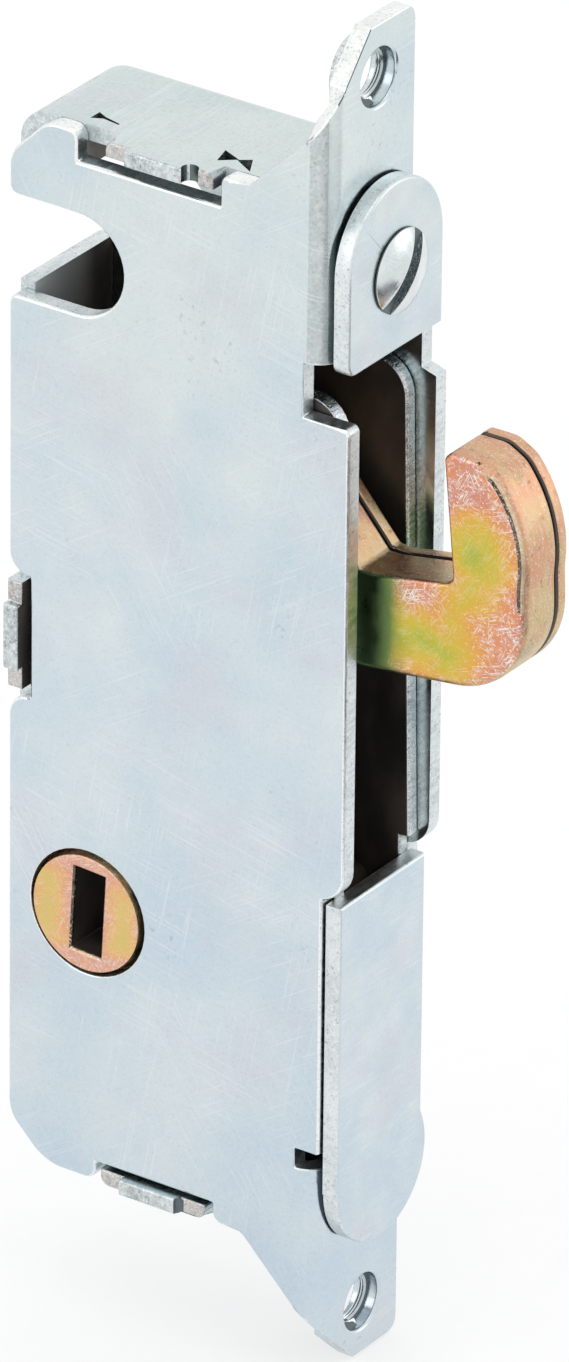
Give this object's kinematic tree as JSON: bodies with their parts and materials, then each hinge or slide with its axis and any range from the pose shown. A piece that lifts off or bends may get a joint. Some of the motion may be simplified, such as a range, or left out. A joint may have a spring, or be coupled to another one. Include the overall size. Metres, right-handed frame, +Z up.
{
  "type": "sliding patio door lock",
  "caption": "Mortise lock for a sliding patio door: a folded sheet case with a swinging hook on an adjustable carriage, worked by a keyed hub.",
  "frame": {"origin": "on the case's front face, midway between the two tapped fixing holes", "axes": "+X out of the face, +Z up along the lock, +Y from the near side with the keyed hub's shown end to the far side"},
  "size_m": [0.0404, 0.0123, 0.1016],
  "materials": {
    "zinc_plate": "bright zinc plate, cloudy, finely scratched",
    "dichromate": "yellow dichromate over zinc, iridescent",
    "bare_steel": "oiled bare steel"
  },
  "bodies": {
    "case": {"front_case_shell": "zinc_plate", "rear_case_shell": "zinc_plate", "screw_nut": "bare_steel", "carriage_guide_post": "bare_steel", "spring_post": "bare_steel", "over_center_spring": "bare_steel"},
    "carriage": {"upper_face_plate": "zinc_plate", "lower_face_plate": "zinc_plate", "carriage_near_plate": "zinc_plate", "carriage_far_plate": "zinc_plate", "carriage_spacers": "bare_steel", "hook_pivot_stud": "bare_steel"},
    "screw": {"adjusting_screw": "zinc_plate", "screw_retaining_ring": "bare_steel"},
    "hook": {"hook_main_plate": "dichromate", "hook_cover_plate": "dichromate", "hook_drive_pin": "bare_steel", "hook_rivet": "bare_steel"},
    "hub": {"key_hub": "dichromate", "hub_lever": "bare_steel", "hub_spacer": "bare_steel", "crank_pin": "bare_steel", "spring_stud": "bare_steel", "link_clip": "bare_steel"},
    "link": {"drive_link": "bare_steel"}
  },
  "joints": [
    {"name": "carriage_slide", "type": "slide", "parent": "case", "child": "carriage", "axis": [1, 0, 0], "range_m": [0, 0.00317]},
    {"name": "screw_turn", "type": "hinge", "parent": "carriage", "child": "screw", "pos_m": [0.00155, 0.0006, 0.0328], "axis": [1, 0, 0], "range_deg": [0, 1440.5]},
    {"name": "hub_turn", "type": "hinge", "parent": "case", "child": "hub", "pos_m": [-0.0194, 0, -0.0198], "axis": [0, 1, 0], "range_deg": [-76, 0], "deforming": ["over_center_spring"]},
    {"name": "hook_swing", "type": "hinge", "parent": "carriage", "child": "hook", "pos_m": [-0.01, 0, 0.0173], "axis": [0, 1, 0], "range_deg": [0, 76.05]},
    {"name": "link_swing", "type": "hinge", "parent": "hub", "child": "link", "pos_m": [-0.0131, 0, -0.02473], "axis": [0, 1, 0], "range_deg": [0, 76.05]}
  ],
  "couplings": [
    {"joint": "screw_turn", "follows": "carriage_slide", "rad_per_m": 7915.8},
    {"joint": "hook_swing", "follows": "hub_turn", "ratio": -1},
    {"joint": "link_swing", "follows": "hub_turn", "ratio": -1}
  ]
}
